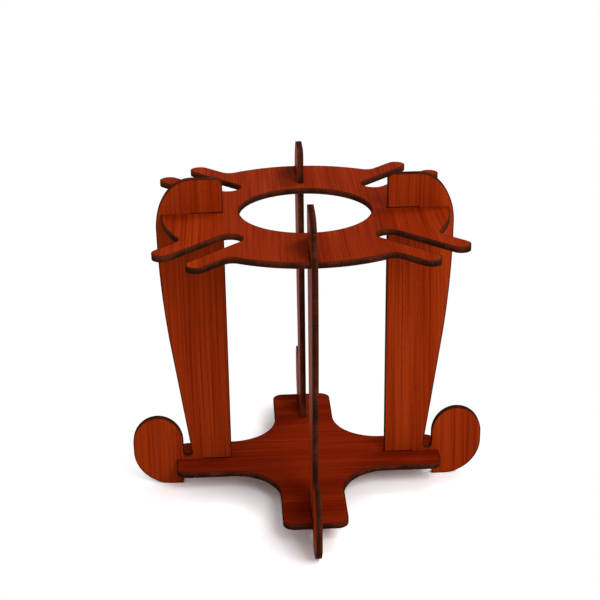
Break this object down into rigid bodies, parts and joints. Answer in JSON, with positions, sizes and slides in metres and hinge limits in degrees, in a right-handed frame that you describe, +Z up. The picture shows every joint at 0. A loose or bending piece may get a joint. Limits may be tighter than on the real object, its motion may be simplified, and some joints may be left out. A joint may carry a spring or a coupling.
{
  "type": "wine bottle and glass holder",
  "caption": "Wine caddy of cross-lapped flat boards: a cross plate carries the bottle, and a forked ring plate hangs stemmed glasses by their feet.",
  "frame": {"origin": "on the ground under the bottle's axis, in the middle of the footprint", "axes": "+Z up along the bottle's axis, -Y to the front upright and +X to the right upright as the picture shows them"},
  "size_m": [0.254, 0.254, 0.234],
  "materials": {
    "laminated_board": "satin"
  },
  "bodies": {
    "root": {"glass_plate": "laminated_board", "bottle_plate": "laminated_board", "upright_front": "laminated_board", "upright_right": "laminated_board", "upright_back": "laminated_board", "upright_left": "laminated_board"}
  },
  "joints": []
}
